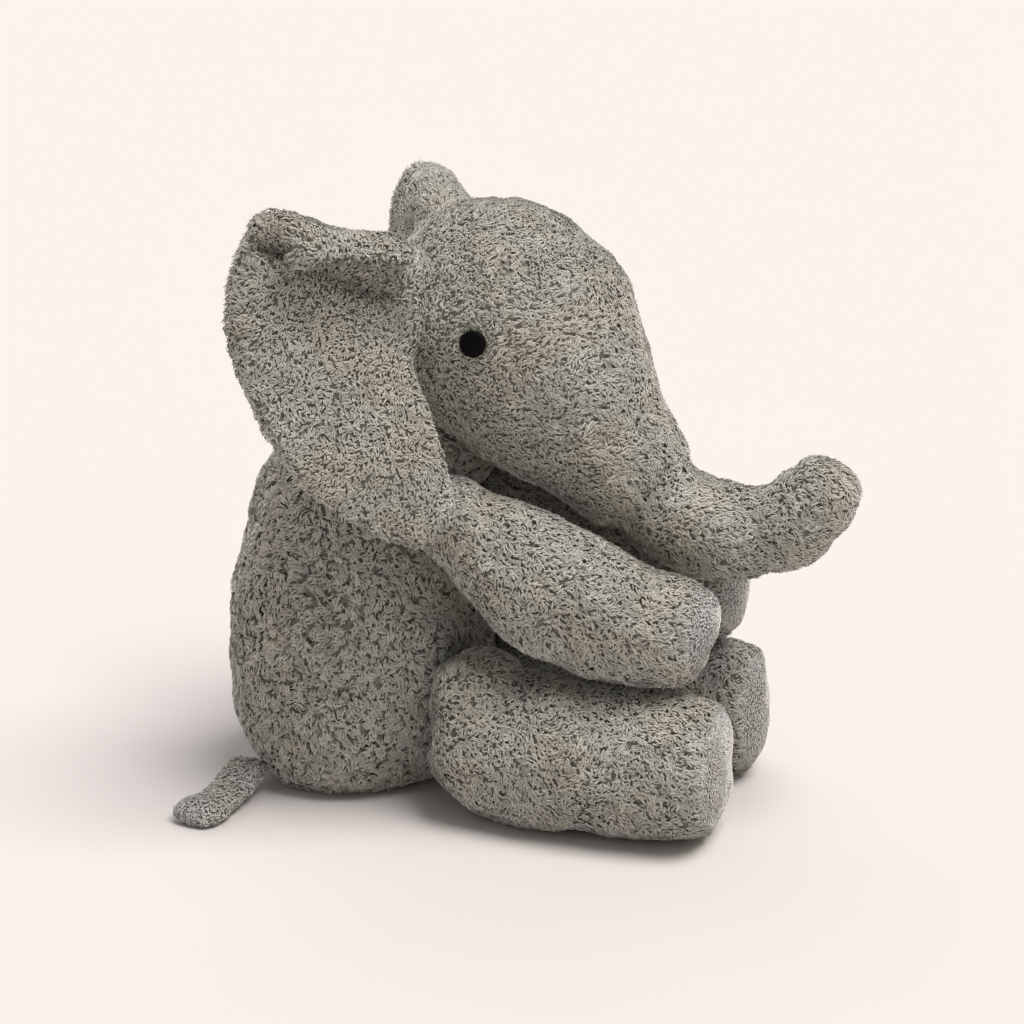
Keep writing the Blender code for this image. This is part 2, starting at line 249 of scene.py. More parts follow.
def line_distance(points, line):
    """Distance from each point to a line of straight lengths."""
    best = np.full(len(points), 1.0)
    for a, b in zip(line, line[1:]):
        along = b - a
        share = np.clip((points - a) @ along / (along @ along), 0.0, 1.0)
        best = np.minimum(best, np.linalg.norm(points - a - share[:, None] * along, axis=1))
    return best


# ---------------------------------------------------------------- the CAD frame
def part_nodes(part):
    return [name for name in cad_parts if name.startswith(part + "_")]


def node_middle(node):
    low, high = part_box(node)
    return np.array((low + high) / 2)


def side_sign(side):
    """The sign of x on one side of the toy."""
    return -1.0 if side == "right" else 1.0


TORSO_NODES = ["body_cover_left", "body_cover_right", "seat_panel", "pellet_bag", "body_stuffing"]
HEAD_NODES = ["head_side_left", "head_side_right", "head_gusset", "head_stuffing"]
TRUNK_BASE_NODES = part_nodes("trunk_base")
TRUNK_END_NODES = part_nodes("trunk_end") + ["trunk_tip_pad"]
PAD_NODES = {"arm": "paw_pad", "leg": "sole_pad"}


# ---------------------------------------------------------------- mesh helpers
def link(name, data):
    """A new object in the scene for a mesh, light or camera."""
    thing = bpy.data.objects.new(name, data)
    bpy.context.scene.collection.objects.link(thing)
    return thing


def mesh_points(mesh):
    co = np.empty(len(mesh.vertices) * 3)
    mesh.vertices.foreach_get("co", co)
    return co.reshape(-1, 3)


def set_points(mesh, points):
    mesh.vertices.foreach_set("co", np.ascontiguousarray(points, dtype=np.float32).ravel())
    mesh.update()


def mesh_normals(mesh):
    normals = np.empty(len(mesh.vertices) * 3, np.float32)
    mesh.vertex_normals.foreach_get("vector", normals)
    return normals.reshape(-1, 3).astype(float)


def mesh_edges(mesh):
    edges = np.empty(len(mesh.edges) * 2, int)
    mesh.edges.foreach_get("vertices", edges)
    return edges.reshape(-1, 2)


def mesh_triangles(mesh):
    mesh.calc_loop_triangles()
    corners = np.empty(len(mesh.loop_triangles) * 3, int)
    mesh.loop_triangles.foreach_get("vertices", corners)
    return corners.reshape(-1, 3)


def shade_smooth(mesh):
    mesh.polygons.foreach_set("use_smooth", np.ones(len(mesh.polygons), bool))


def apply_modifiers(piece):
    graph = bpy.context.evaluated_depsgraph_get()
    mesh = bpy.data.meshes.new_from_object(piece.evaluated_get(graph))
    piece.modifiers.clear()
    piece.data = mesh


def displace(piece, amount_of):
    """Moves every point along its normal by amount_of(points), in metres."""
    points = mesh_points(piece.data)
    set_points(piece.data, points + mesh_normals(piece.data) * amount_of(points)[:, None])


def swell(piece, amount):
    """Moves every point outwards by the same amount, or inwards if it is negative."""
    displace(piece, lambda points: np.full(len(points), amount))


# ---------------------------------------------------------------- soft forms from the CAD solids
def joined_nodes(name, nodes, fillers):
    """Copies of the nodes' meshes, with the soft ellipsoids that fill the hollows between them."""
    build = bmesh.new()
    for node in nodes:
        build.from_mesh(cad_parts[node].data)
    for middle, radii in fillers:
        ball = Matrix.Translation(Vector(at(*middle))) @ Matrix.Diagonal(Vector(radii) * MM).to_4x4()
        bmesh.ops.create_icosphere(build, subdivisions=3, radius=1.0, matrix=ball)
    mesh = bpy.data.meshes.new(name)
    build.to_mesh(mesh)
    build.free()
    return link(name, mesh)


def voxel_remesh(piece, size):
    remesh = piece.modifiers.new("voxels", "REMESH")
    remesh.mode = "VOXEL"
    remesh.voxel_size = size
    apply_modifiers(piece)


def island_from(start):
    """All the vertices that edges join to this one."""
    found, stack = {start}, [start]
    while stack:
        vert = stack.pop()
        for edge in vert.link_edges:
            other = edge.other_vert(vert)
            if other not in found:
                found.add(other)
                stack.append(other)
    return found


def keep_largest_island(piece):
    """Drops the hollow inner skins that the remesh leaves."""
    build = bmesh.new()
    build.from_mesh(piece.data)
    seen, largest = set(), set()
    for start in build.verts:
        if start not in seen:
            island = island_from(start)
            seen |= island
            largest = max(largest, island, key=len)
    bmesh.ops.delete(build, geom=[v for v in build.verts if v not in largest], context="VERTS")
    build.to_mesh(piece.data)
    build.free()


def relax(piece, rounds):
    """Evens out the voxel steps; every other round pushes back, so that the form doesn't shrink."""
    edges, points = mesh_edges(piece.data), mesh_points(piece.data)
    degree = np.maximum(np.bincount(edges.ravel(), minlength=len(points)), 1)[:, None]
    for turn in range(rounds):
        total = np.zeros_like(points)
        np.add.at(total, edges[:, 0], points[edges[:, 1]])
        np.add.at(total, edges[:, 1], points[edges[:, 0]])
        step = RELAX_STEP if turn % 2 == 0 else -RELAX_STEP * RELAX_REBOUND
        points = points + (total / degree - points) * step
    set_points(piece.data, points)


def inflate(piece, cap):
    """Cloth simulation under inner pressure, with no gravity; no point moves further than cap."""
    rest = mesh_points(piece.data)
    cloth = piece.modifiers.new("swell", "CLOTH")
    cloth.settings.quality = 4
    cloth.settings.use_pressure = True
    cloth.settings.uniform_pressure_force = CLOTH_PRESSURE
    cloth.settings.effector_weights.gravity = 0.0
    cloth.point_cache.frame_start = 1
    cloth.point_cache.frame_end = CLOTH_FRAMES
    scene = bpy.context.scene
    for number in range(1, CLOTH_FRAMES + 1):
        scene.frame_set(number)
    apply_modifiers(piece)
    scene.frame_set(1)
    move = mesh_points(piece.data) - rest
    length = np.linalg.norm(move, axis=1, keepdims=True)
    move *= np.minimum(1.0, cap / np.maximum(length, 1e-9))
    set_points(piece.data, rest + move)


def subdivide(piece):
    piece.modifiers.new("round", "SUBSURF").levels = 1
    apply_modifiers(piece)


def soft_form(name, nodes, voxel, cap, closing=0.0, rounds=8, fillers=()):
    """A closed soft skin around some CAD nodes, swollen by at most cap, after closing gaps up to twice that width.

    Voxel, cap and closing are in mm.
    """
    piece = joined_nodes(name, nodes, fillers)
    voxel_remesh(piece, voxel * MM)
    keep_largest_island(piece)
    if closing:
        swell(piece, closing * MM)
        voxel_remesh(piece, voxel * MM)
        keep_largest_island(piece)
        relax(piece, 6)
        swell(piece, -closing * MM)
    relax(piece, rounds)
    inflate(piece, cap * MM)
    subdivide(piece)
    return piece


def mirrored_form(name, source):
    """The other side's skin: the same form, mirrored across the toy's middle."""
    piece = link(name, source.data.copy())
    set_points(piece.data, mesh_points(piece.data) * (-1, 1, 1))
    piece.data.flip_normals()
    return piece


def lumps(seed, broad, fine):
    """Unevenness of the filling, for displace()."""

    def amount(points):
        large = wave_noise(points, BROAD_LUMP_SIZE, seed) * broad
        small = wave_noise(points, FINE_LUMP_SIZE, seed + 1) * fine
        return (large + small) * MM

    return amount


def crease(places, depth, width):
    """A pinch along a line on the toy's right side, and along its mirror image, for displace()."""
    line = [at(*place) for place in places]

    def amount(points):
        right = points.copy()
        right[:, 0] = -np.abs(right[:, 0])
        return -depth * np.exp(-((line_distance(right, line) / width) ** 2))

    return amount


def rest_on_floor(piece):
    points = mesh_points(piece.data)
    points[:, 2] = np.maximum(points[:, 2], FLOOR_CLEAR)
    set_points(piece.data, points)


# ---------------------------------------------------------------- roots of the pile
class Roots:
    """Where tufts grow: points on a skin, and the skin's normals there."""

    def __init__(self, points, normals):
        self.points = points
        self.normals = normals

    def part(self, mask):
        return Roots(self.points[mask], self.normals[mask])


def scatter_roots(skin, spacing, seed):
    """Random points all over a skin, thinned to one in each cell of this size."""
    rng = np.random.default_rng(seed)
    corners = mesh_triangles(skin.data)
    co, no = mesh_points(skin.data), mesh_normals(skin.data)
    a, b, c = (co[corners[:, k]] for k in range(3))
    area = np.linalg.norm(np.cross(b - a, c - a), axis=1) / 2
    count = int(area.sum() / spacing**2 * OVERSAMPLE)
    picked = corners[rng.choice(len(corners), count, p=area / area.sum())]
    u, v = rng.random((2, count))
    fold = u + v > 1
    u[fold], v[fold] = 1 - u[fold], 1 - v[fold]
    weights = np.stack([1 - u - v, u, v], axis=1)
    points = np.einsum("ij,ijk->ik", weights, co[picked])
    normals = unit_rows(np.einsum("ij,ijk->ik", weights, no[picked]))
    first = np.unique(cell_keys(points, spacing), return_index=True)[1]
    return Roots(points[first], normals[first])


def outside_of(skin, roots):
    """True for each root that isn't deeper than HIDDEN_DEPTH inside the skin."""
    tree = bvhtree.BVHTree.FromPolygons(
        [v.co for v in skin.data.vertices], [tuple(p.vertices) for p in skin.data.polygons]
    )
    co = mesh_points(skin.data)
    near = np.all((roots.points > co.min(axis=0)) & (roots.points < co.max(axis=0)), axis=1)
    free = np.ones(len(roots.points), bool)
    for i in np.flatnonzero(near):
        root = Vector(roots.points[i])
        place, normal, _, distance = tree.find_nearest(root)
        if distance > HIDDEN_DEPTH and (root - place).dot(normal) < 0:
            free[i] = False
    return free


def clumps(points, size, seed):
    """For each point, the number of its nearest clump; and which points are the clumps' middles."""
    rng = np.random.default_rng(seed)
    order = rng.permutation(len(points))
    middles = order[np.unique(cell_keys(points, size)[order], return_index=True)[1]]
    tree = kdtree.KDTree(len(middles))
    for i, p in enumerate(points[middles]):
        tree.insert(p, i)
    tree.balance()
    return np.fromiter((tree.find(p)[1] for p in points), int, len(points)), middles


# ---------------------------------------------------------------- tufts
def tuft_corners(spine, normals, side, width):
    """Three corners round the base, three round the belly and the tip: seven points for each tuft."""
    corners = []
    for low, high, station in zip(spine, spine[1:], STATIONS):
        along = unit_rows(high - low)
        across = unit_rows(np.cross(along, normals) + side * 1e-3)
        depth = np.cross(across, along)
        half = (width * station[4] / 2)[:, None]
        corners += [low + across * half, low - depth * half * TUFT_FLATNESS, low - across * half]
    corners = np.stack(corners + [spine[-1]], axis=1)
    corners[:, :, 2] = np.maximum(corners[:, :, 2], FLOOR_CLEAR)
    return corners


def tuft_points(roots, comb, look, length, seed):
    """The corners of the tufts, with the tones of each tuft's clump and of the tuft itself."""
    rng = np.random.default_rng(seed)
    points, normals = roots.points, roots.normals
    count = len(points)
    clump, middles = clumps(points, look["clump"] * MM, seed + 1)
    size = length(points)
    run = comb(points) + rng.normal(size=(len(middles), 3))[clump] * look["swirl"]
    run = run + rng.normal(size=(count, 3)) * look["stray"]
    run = unit_rows(flattened(run, normals))
    side = np.cross(normals, run)
    clump_tone, tuft_tone = rng.random(len(middles))[clump], rng.random(count)
    lift = look["lift"] * MM * size * (0.7 + 0.35 * clump_tone + 0.35 * rng.random(count))
    lean = look["lean"] * MM * size * (0.65 + 0.7 * rng.random(count))
    bend = rng.normal(size=len(middles))[clump] * 0.8 + rng.normal(size=count) * 0.5
    curl = look["curl"] * MM * size * bend
    pull = flattened((points[middles][clump] - points) * look["gather"], normals)
    width = look["width"] * MM * (0.75 + 0.5 * rng.random(count)) * np.sqrt(size)
    spine = [
        points
        + normals * (lift * up)[:, None]
        + run * (lean * over)[:, None]
        + side * (curl * turn)[:, None]
        + pull * draw
        for up, over, turn, draw, _ in STATIONS
    ]
    return tuft_corners(spine, normals, side, width), clump_tone, tuft_tone


def wrap_normals(mesh, skin_normals):
    """Leans the tufts' shading towards the skin's own, the way light wraps round soft pile."""
    normals = mesh_normals(mesh) * (1.0 - LIGHT_WRAP) + skin_normals * LIGHT_WRAP
    mesh.normals_split_custom_set_from_vertices(unit_rows(normals))


def bake_cells(count, loops):
    """A small cell of the bake map for each tuft, with its tip towards the top of the cell."""
    grid = math.ceil(math.sqrt(count))
    cell = np.stack([np.arange(count) % grid, np.arange(count) // grid], axis=1) / grid
    ring = [((i % 3) * 0.3 + 0.2, TUFT_ALONG[i] * 0.8 + 0.1) for i in range(6)]
    local = np.array(ring + [(0.5, 0.9)])
    return cell[:, None, :] + local[loops][None, :, :] / grid


def tuft_mesh(name, corners, skin_normals, clump_tone, tuft_tone):
    """One mesh of tufts; each has its own cell of the bake map and carries its tones."""
    count, per = corners.shape[:2]
    loops = np.array([i for face in TUFT_FACES for i in face])
    starts = np.cumsum([0] + [len(face) for face in TUFT_FACES[:-1]])
    mesh = bpy.data.meshes.new(name)
    mesh.vertices.add(count * per)
    mesh.loops.add(count * len(loops))
    mesh.polygons.add(count * len(TUFT_FACES))
    mesh.vertices.foreach_set("co", corners.astype(np.float32).ravel())
    tuft = np.arange(count)[:, None]
    mesh.loops.foreach_set("vertex_index", (tuft * per + loops).ravel().astype(np.int32))
    mesh.polygons.foreach_set("loop_start", (tuft * len(loops) + starts).ravel().astype(np.int32))
    shade_smooth(mesh)
    mesh.update(calc_edges=True)
    tone = np.ones((count, per, 4), np.float32)
    tone[:, :, 0] = TUFT_ALONG
    tone[:, :, 1] = tuft_tone[:, None]
    tone[:, :, 2] = clump_tone[:, None]
    mesh.attributes.new("pile", "FLOAT_COLOR", "POINT").data.foreach_set("color", tone.ravel())
    uv = bake_cells(count, loops).astype(np.float32).ravel()
    mesh.uv_layers.new(name="OFBake").data.foreach_set("uv", uv)
    wrap_normals(mesh, np.repeat(skin_normals, per, axis=0))
    return mesh


def grow_pile(name, roots, comb, look, length, seed, split_axis=0):
    """The pile of one part as pieces of at most TUFTS_PER_PIECE tufts, cut across split_axis."""
    corners, clump_tone, tuft_tone = tuft_points(roots, comb, look, length, seed)
    order = np.argsort(roots.points[:, split_axis], kind="stable")
    parts = np.array_split(order, math.ceil(len(order) / TUFTS_PER_PIECE))
    pieces = []
    for number, part in enumerate(parts, 1):
        label = f"{name}_{number}" if len(parts) > 1 else name
        mesh = tuft_mesh(label, corners[part], roots.normals[part], clump_tone[part], tuft_tone[part])
        pieces.append(link(label, mesh))
    return pieces


# ---------------------------------------------------------------- how the pile runs and how long it is
def away_from(origin, swirl, size, seed, pull=(0, 0, 0)):
    """A comb that runs away from a place, drawn in one direction and bent by smooth noise of this size in mm."""
    drawn = way(*pull)

    def comb(points):
        bend = np.stack([wave_noise(points, size * MM, seed + k) for k in range(3)], axis=1)
        return unit_rows(points - origin) + drawn + bend * swirl

    return comb


def even_length(points):
    return np.ones(len(points))


def eye_distance(points):
    """Distance in mm from the nearer eye's middle, measured over the head's side."""
    best = np.full(len(points), 1.0)
    for side in ("left", "right"):
        middle = node_middle(f"eye_{side}")
        same = (points[:, 0] * middle[0] > 0) & (np.abs(points[:, 0]) > 30 * MM)
        flat = np.hypot(points[:, 1] - middle[1], points[:, 2] - middle[2])
        best = np.where(same, np.minimum(best, flat), best)
    return best / MM


def head_length(points):
    """Shorter over the crown and round the eyes, longer along the trunk."""
    forward, up = -points[:, 1] / MM, points[:, 2] / MM
    length = 0.86 + 0.22 * smoothstep((forward - 120) / 70) - 0.12 * smoothstep((up - 225) / 50)
    return length * (0.55 + 0.45 * smoothstep((eye_distance(points) - EYE_SHORTEST) / (EYE_FULL - EYE_SHORTEST)))


def head_comb(points):
    """Away from the nape and drawn forwards, but straight out from each eye at its rim."""
    comb = away_from(at(*HEAD_WHORL), swirl=0.5, size=28, seed=22, pull=(0, 0.35, -0.10))(points)
    rim = smoothstep((EYE_UNCOMBED - eye_distance(points)) / (EYE_UNCOMBED - EYE_COMBED))[:, None]
    flat = (0, 1, 1)
    outward = unit_rows(points * flat - node_middle("eye_right") * flat)
    return comb * (1 - 0.7 * rim) + outward * rim


def ear_length(points):
    """Shorter down in the crease, so that it stays open."""
    return EAR_LENGTH + crease(EAR_CREASE, EAR_CREASE_SHORTER, EAR_PINCH[1])(points)


def pad_share(points, pad):
    """0 on the curly part of a limb, 1 on its end pad, with a soft change between."""
    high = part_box(pad)[1]
    return smoothstep((high.y + 1.5 * MM - points[:, 1]) / (7 * MM))


# ---------------------------------------------------------------- materials
class Shading:
    """A new material with short ways to add and join its nodes."""

    def __init__(self, name):
        self.material = bpy.data.materials.new(name)
        self.material.use_nodes = True
        self.nodes = self.material.node_tree.nodes
        self.join = self.material.node_tree.links.new
        self.shader = self.nodes["Principled BSDF"]

    def finish(self, values):
        for name, value in values.items():
            self.shader.inputs[name].default_value = value

    def ramp(self, value, stops):
        """The colour at value along a row of (place, colour) stops."""
        node = self.nodes.new("ShaderNodeValToRGB")
        elements = node.color_ramp.elements
        while len(elements) < len(stops):
            elements.new(0.5)
        for element, (place, colour) in zip(elements, stops):
            element.position = place
            element.color = colour
        self.join(value, node.inputs["Fac"])
        return node.outputs["Color"]

    def noise(self, scale, detail):
        """Noise by place, in waves per metre."""
        place = self.nodes.new("ShaderNodeNewGeometry")
        node = self.nodes.new("ShaderNodeTexNoise")
        node.inputs["Scale"].default_value = scale
        node.inputs["Detail"].default_value = detail
        self.join(place.outputs["Position"], node.inputs["Vector"])
        return node.outputs["Fac"]

    def add_scaled(self, base, value, factor):
        """base + value * factor."""
        node = self.nodes.new("ShaderNodeMath")
        node.operation = "MULTIPLY_ADD"
        node.inputs[1].default_value = factor
        self.join(value, node.inputs[0])
        self.join(base, node.inputs[2])
        return node.outputs["Value"]

    def remap(self, value, start, end, low, high):
        """value, with the range start..end turned into low..high."""
        node = self.nodes.new("ShaderNodeMapRange")
        limits = {"From Min": start, "From Max": end, "To Min": low, "To Max": high}
        for name, limit in limits.items():
            node.inputs[name].default_value = limit
        self.join(value, node.inputs["Value"])
        return node.outputs["Result"]

    def product(self, colour, other):
        node = self.nodes.new("ShaderNodeVectorMath")
        node.operation = "MULTIPLY"
        self.join(colour, node.inputs[0])
        self.join(other, node.inputs[1])
        return node.outputs["Vector"]

    def brightened(self, colour, factor):
        node = self.nodes.new("ShaderNodeVectorMath")
        node.operation = "SCALE"
        self.join(colour, node.inputs[0])
        self.join(factor, node.inputs["Scale"])
        return node.outputs["Vector"]


def pile_material(name, root, mid, tip, spread=PILE_SPREAD):
    """Roots darker than the tips, partly the pile's own colour and partly painted shade deep in the pile, and a
    tone that changes from tuft to tuft, clump to clump and patch to patch.
    """
    look = Shading(name)
    layer = look.nodes.new("ShaderNodeAttribute")
    layer.attribute_name = "pile"
    split = look.nodes.new("ShaderNodeSeparateColor")
    look.join(layer.outputs["Color"], split.inputs["Color"])
    along = look.ramp(split.outputs["Red"], [(0.0, root), (0.4, mid), (0.85, tip)])
    tuft_and_clump = look.add_scaled(split.outputs["Blue"], split.outputs["Green"], 0.5)
    with_patches = look.add_scaled(tuft_and_clump, look.noise(45.0, 2.0), 0.8)
    tone = look.remap(with_patches, 0.2, 2.1, 1.0 - spread, 1.0 + spread)
    warmth = look.ramp(look.noise(30.0, 1.0), [(0.4, WARMER), (0.6, COOLER)])
    colour = look.brightened(look.product(along, warmth), tone)
    look.join(colour, look.shader.inputs["Base Color"])
    look.finish(PILE_FINISH)
    return look.material


def backing_material(name, dark, light):
    """The cloth the pile stands on: uneven fibres with a fine bump; its dark tone is partly painted shade deep
    between the tufts.
    """
    look = Shading(name)
    fibres = look.noise(620.0, 4.0)
    look.join(look.ramp(fibres, [(0.35, dark), (0.7, light)]), look.shader.inputs["Base Color"])
    bump = look.nodes.new("ShaderNodeBump")
    bump.inputs["Strength"].default_value = 0.6
    bump.inputs["Distance"].default_value = 0.5 * MM
    look.join(fibres, bump.inputs["Height"])
    look.join(bump.outputs["Normal"], look.shader.inputs["Normal"])
    look.finish({"Roughness": 0.95})
    return look.material


def thread_material(name, colour, lint):
    look = Shading(name)
    tone = look.ramp(look.noise(1400.0, 3.0), [(0.35, colour), (0.8, lint)])
    look.join(tone, look.shader.inputs["Base Color"])
    look.finish({"Roughness": 0.6, "Specular IOR Level": 0.06})
    return look.material


def floor_material(name, colour):
    look = Shading(name)
    look.finish({"Base Color": colour, "Roughness": 1.0, "Specular IOR Level": 0.0})
    return look.material


# ---------------------------------------------------------------- eyes
def eye_circle(radius):
    """Points of a circle in the plane across x."""
    angles = [2 * math.pi * spoke / EYE_SPOKES for spoke in range(EYE_SPOKES)]
    return [(radius * math.cos(a), radius * math.sin(a)) for a in angles]


def eye_front(half_thick, radius):
    """The stitched dome, ring by ring from its middle, as (height, y, z): threads lie side by side across it."""
    points = []
    for ring in range(EYE_RINGS + 1):
        share = ring / EYE_RINGS
        rise = half_thick - EYE_SINK + EYE_DOME * math.sqrt(1.0 - share**2)
        relief = THREAD_RELIEF if ring < EYE_RINGS else 0.0
        for y, z in eye_circle(radius * EYE_SPREAD * share):
            thread = (y * math.cos(THREAD_TILT) + z * math.sin(THREAD_TILT)) / THREAD_PITCH
            points.append((rise + relief * abs(math.cos(math.pi * thread)), y, z))
    return points


def eye_faces():
    """Bands between the rings, a wall down to the back, and the back."""
    back = (EYE_RINGS + 1) * EYE_SPOKES
    faces = [tuple(range(back, back + EYE_SPOKES))]
    for low in range(0, back, EYE_SPOKES):
        high = low + EYE_SPOKES
        for spoke in range(EYE_SPOKES):
            after = (spoke + 1) % EYE_SPOKES
            faces.append((low + spoke, low + after, high + after, high + spoke))
    return faces


def close_mesh(mesh):
    """Joins points that coincide and turns all faces outwards."""
    build = bmesh.new()
    build.from_mesh(mesh)
    bmesh.ops.remove_doubles(build, verts=build.verts, dist=0.01 * MM)
    bmesh.ops.recalc_face_normals(build, faces=build.faces)
    build.to_mesh(mesh)
    build.free()


def build_eye(side, material):
    """A satin-stitched dome: thread ridges run across a low round cushion."""
    node = f"eye_{side}"
    low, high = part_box(node)
    half_thick, radius = (high.x - low.x) / 2, (high.y - low.y) / 2
    points = eye_front(half_thick, radius) + [(-half_thick, y, z) for y, z in eye_circle(radius)]
    placed = np.array(points) * (side_sign(side), 1, 1) + node_middle(node)
    mesh = bpy.data.meshes.new(f"{node}_stitching")
    mesh.from_pydata(placed.tolist(), [], eye_faces())
    close_mesh(mesh)
    mesh.materials.append(material)
    shade_smooth(mesh)
    eye = link(f"{node}_stitching", mesh)
    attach(eye, "head")
    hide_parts(node)


# ---------------------------------------------------------------- parts
def rider(body):
    """A way to carry a piece: with one body."""
    return lambda piece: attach(piece, body)


def bridge():
    """A way to carry a piece: its placement is baked into its mesh, and no body is attached."""
    return lambda piece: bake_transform(piece)


def finish_skin(skin, material, nodes, carry):
    rest_on_floor(skin)
    shade_smooth(skin.data)
    skin.data.materials.clear()
    skin.data.materials.append(material)
    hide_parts(*nodes)
    carry(skin)


def finish_pile(pieces, material, carry):
    for piece in pieces:
        piece.data.materials.append(material)
        carry(piece)


def base_skins():
    """The soft forms of the middle and of the right side."""
    head_nodes = HEAD_NODES + TRUNK_BASE_NODES + TRUNK_END_NODES
    ear, arm, leg = (part_nodes(f"{limb}_right") for limb in ("ear", "arm", "leg"))
    head_fillers = (CROWN_FILLER, TRUNK_FILLER)
    return {
        "torso": soft_form("body_skin", TORSO_NODES, 4.0, cap=2.5, fillers=(NECK_FILLER,)),
        "head": soft_form("head_skin", head_nodes, 3.5, cap=2.5, closing=2.0, fillers=head_fillers),
        "ear_right": soft_form("ear_right_skin", ear, 2.4, cap=1.0, closing=1.7, rounds=10, fillers=EAR_FILLERS),
        "arm_right": soft_form("arm_right_skin", arm, 3.5, cap=2.0, closing=2.0),
        "leg_right": soft_form("leg_right_skin", leg, 3.8, cap=2.0, closing=2.0, fillers=(HAUNCH_FILLER,)),
        "tail": soft_form("tail_skin", part_nodes("tail"), 2.0, cap=0.4, closing=1.5),
    }


def build_skins():
    """All the soft forms, before any pile: the cloth simulations run on a light scene."""
    skins = base_skins()
    displace(skins["ear_right"], crease(EAR_CREASE, *EAR_PINCH))
    displace(skins["torso"], crease(BODY_CREASE, *BODY_PINCH))
    for line in TAIL_CREASES:
        displace(skins["tail"], crease(line, *TAIL_PINCH))
    for limb in ("ear", "arm", "leg"):
        skins[f"{limb}_left"] = mirrored_form(f"{limb}_left_skin", skins[f"{limb}_right"])
    sizes = {"tail": TAIL_LUMPS, "ear_right": EAR_LUMPS, "ear_left": EAR_LUMPS}
    for number, (name, skin) in enumerate(skins.items()):
        displace(skin, lumps(100 + 10 * number, *sizes.get(name, BODY_LUMPS)))
    return skins


def trunk_side(points):
    return (points - at(*TRUNK_CUT)) @ way(*TRUNK_CUT_FACING) > 0


def cut_skin(name, source, keep_far):
    """One side of the head-and-trunk skin, closed where it is cut."""
    build = bmesh.new()
    build.from_mesh(source.data)
    bmesh.ops.bisect_plane(
        build,
        geom=build.verts[:] + build.edges[:] + build.faces[:],
        plane_co=at(*TRUNK_CUT),
        plane_no=way(*TRUNK_CUT_FACING),
        clear_inner=keep_far,
        clear_outer=not keep_far,
    )
    bmesh.ops.holes_fill(build, edges=[e for e in build.edges if e.is_boundary])
    mesh = bpy.data.meshes.new(name)
    build.to_mesh(mesh)
    build.free()
    return link(name, mesh)


def dress_torso(skins, cloths):
    carry = bridge()
    skin = skins["torso"]
    roots = scatter_roots(skin, PILE_SPACING, seed=11)
    roots = roots.part(outside_of(skins["head"], roots))
    comb = away_from(at(*BODY_WHORL), swirl=0.55, size=30, seed=12)
    pile = grow_pile("body_pile", roots, comb, CURLIER, even_length, seed=13)
    finish_pile(pile, cloths["plush"], carry)
    finish_skin(skin, cloths["backing"], TORSO_NODES, carry)


def dress_head(skins, cloths):
    """The head's skin runs on over the trunk; skin and pile are cut in two, because each crosses one joint."""
    whole = skins["head"]
    roots = scatter_roots(whole, PILE_SPACING, seed=21)
    roots = roots.part((eye_distance(roots.points) > EYE_BARE) & outside_of(skins["torso"], roots))
    far = trunk_side(roots.points)
    head_carry = bridge()
    trunk_carry = bridge()
    head_pile = grow_pile("head_pile", roots.part(~far), head_comb, CURLY, head_length, seed=23)
    trunk_pile = grow_pile("trunk_pile", roots.part(far), head_comb, CURLY, head_length, seed=24)
    finish_pile(head_pile, cloths["plush"], head_carry)
    finish_pile(trunk_pile, cloths["plush"], trunk_carry)
    head_cloth = cut_skin("head_cloth", whole, keep_far=False)
    trunk_cloth = cut_skin("trunk_cloth", whole, keep_far=True)
    finish_skin(head_cloth, cloths["backing"], HEAD_NODES + TRUNK_BASE_NODES, head_carry)
    finish_skin(trunk_cloth, cloths["backing"], TRUNK_END_NODES, trunk_carry)
    mesh = whole.data
    bpy.data.objects.remove(whole)
    bpy.data.meshes.remove(mesh)


def dress_limb(limb, side, skins, cloths, seed):
    """Curly pile on the limb and a short pile on its end pad, mixed where they meet."""
    name = f"{limb}_{side}"
    pad = f"{name}_{PAD_NODES[limb]}"
    skin, carry = skins[name], rider(name)
    whorl_x, whorl_forward, whorl_up = LIMB_WHORLS[limb]
    whorl = at(side_sign(side) * whorl_x, whorl_forward, whorl_up)
    comb = away_from(whorl, swirl=0.55, size=26, seed=seed + 1)
    roots = scatter_roots(skin, PILE_SPACING, seed)
    curly = roots.part(pad_share(roots.points, pad) < 0.6)

    def length(points):
        return 1.0 - PAD_SHORTER * pad_share(points, pad)

    pile = grow_pile(f"{name}_pile", curly, comb, CURLY, length, seed + 2, split_axis=1)
    finish_pile(pile, cloths["plush"], carry)
    soft = scatter_roots(skin, PAD_SPACING, seed + 3)
    soft = soft.part(pad_share(soft.points, pad) > 0.45)
    pad_comb = away_from(node_middle(pad), swirl=0.4, size=20, seed=seed + 4, pull=(0, 0, -0.6))
    pad_pile = grow_pile(f"{pad}_pile", soft, pad_comb, SHORT, even_length, seed + 5)
    finish_pile(pad_pile, cloths["velour"], carry)
    finish_skin(skin, cloths["backing"], part_nodes(name), carry)


def dress_ear(side, skins, cloths, seed):
    name = f"ear_{side}"
    skin, carry = skins[name], rider(name)
    whorl_x, whorl_forward, whorl_up = EAR_WHORL
    whorl = at(side_sign(side) * whorl_x, whorl_forward, whorl_up)
    comb = away_from(whorl, swirl=0.5, size=24, seed=seed + 1)
    roots = scatter_roots(skin, PILE_SPACING, seed)
    pile = grow_pile(f"{name}_pile", roots, comb, CURLY, ear_length, seed + 2, split_axis=2)
    finish_pile(pile, cloths["plush"], carry)
    finish_skin(skin, cloths["backing"], part_nodes(name), carry)


def dress_tail(skins, cloths):
    skin, carry = skins["tail"], rider("tail")
    comb = away_from(at(*TAIL_WHORL), swirl=0.3, size=16, seed=92)
    roots = scatter_roots(skin, TAIL_SPACING, seed=91)
    pile = grow_pile("tail_pile", roots, comb, STRAP, even_length, seed=93)
    finish_pile(pile, cloths["strap"], carry)
    finish_skin(skin, cloths["backing"], part_nodes("tail"), carry)


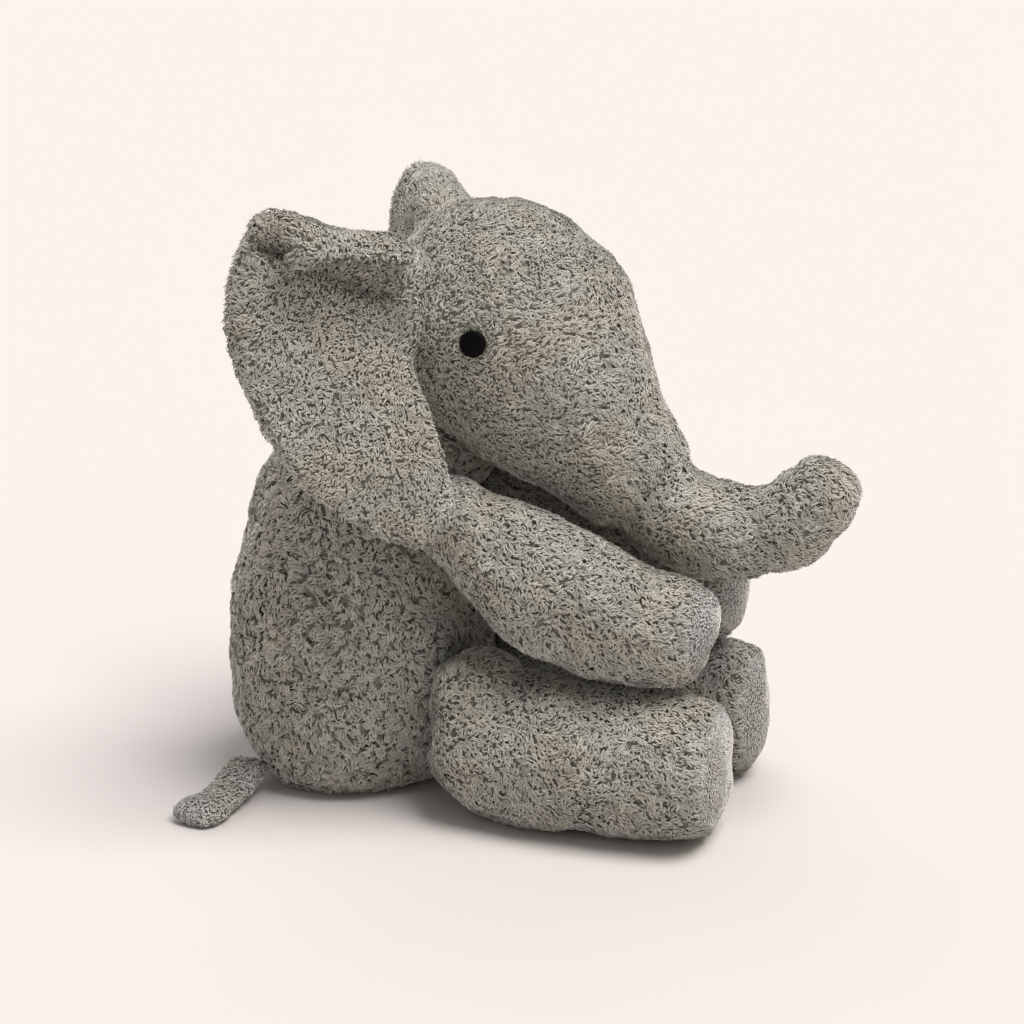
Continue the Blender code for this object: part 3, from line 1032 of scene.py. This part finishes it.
def dress_toy():
    cloths = {
        "plush": pile_material("curly_plush", PILE_ROOT, PILE_MID, PILE_TIP),
        "velour": pile_material("short_pile", PAD_ROOT, PAD_MID, PAD_TIP, PAD_SPREAD),
        # The tail's pile takes the plush's colours one step paler: painted light against the shade the tail lies
        # in.
        "strap": pile_material("strap_pile_painted_light", PILE_MID, PILE_TIP, PAD_TIP),
        "backing": backing_material("plush_backing_painted_shade", BACKING_DARK, BACKING_LIGHT),
    }
    thread = thread_material("black_thread", THREAD_BLACK, THREAD_LINT)
    skins = build_skins()
    dress_torso(skins, cloths)
    dress_head(skins, cloths)
    for seed, side in ((30, "right"), (40, "left")):
        dress_ear(side, skins, cloths, seed)
        build_eye(side, thread)
        dress_limb("arm", side, skins, cloths, seed + 30)
        dress_limb("leg", side, skins, cloths, seed + 60)
    dress_tail(skins, cloths)


# ---------------------------------------------------------------- stage
def add_camera():
    """The studio view: looking at the toy's right side from a little in front and above."""
    level = math.cos(VIEW_ELEVATION)
    back = Vector(
        (
            math.sin(VIEW_AZIMUTH) * level,
            -math.cos(VIEW_AZIMUTH) * level,
            math.sin(VIEW_ELEVATION),
        )
    )
    data = bpy.data.cameras.new("camera")
    data.sensor_width = SENSOR_WIDTH
    data.lens = SENSOR_WIDTH * VIEW_DISTANCE / VIEW_WIDTH
    camera = link("camera", data)
    camera.location = Vector(VIEW_MIDDLE) + back * VIEW_DISTANCE
    camera.rotation_euler = back.to_track_quat("Z", "Y").to_euler()
    bpy.context.scene.camera = camera


def add_sun(name, direction, strength, spread):
    data = bpy.data.lights.new(name, "SUN")
    data.energy = strength
    data.angle = math.radians(spread)
    data.color = STUDIO_WHITE[:3]
    lamp = link(name, data)
    lamp.rotation_euler = Vector(direction).to_track_quat("Z", "Y").to_euler()


def add_floor():
    mesh = bpy.data.meshes.new("floor")
    corners = [(x * FLOOR_REACH, y * FLOOR_REACH, 0) for x, y in ((-1, -1), (1, -1), (1, 1), (-1, 1))]
    mesh.from_pydata(corners, [], [(0, 1, 2, 3)])
    mesh.materials.append(floor_material("floor_pale", FLOOR_PALE))
    link("floor", mesh)


def add_light():
    world = bpy.data.worlds.new("studio")
    world.use_nodes = True
    backdrop = world.node_tree.nodes["Background"]
    backdrop.inputs["Color"].default_value = STUDIO_WHITE
    backdrop.inputs["Strength"].default_value = WORLD_STRENGTH
    bpy.context.scene.world = world
    add_sun("key", *KEY_SUN)
    add_sun("back", *BACK_SUN)
    bpy.context.scene.view_settings.view_transform = "Standard"


dress_toy()
add_camera()
add_floor()
add_light()
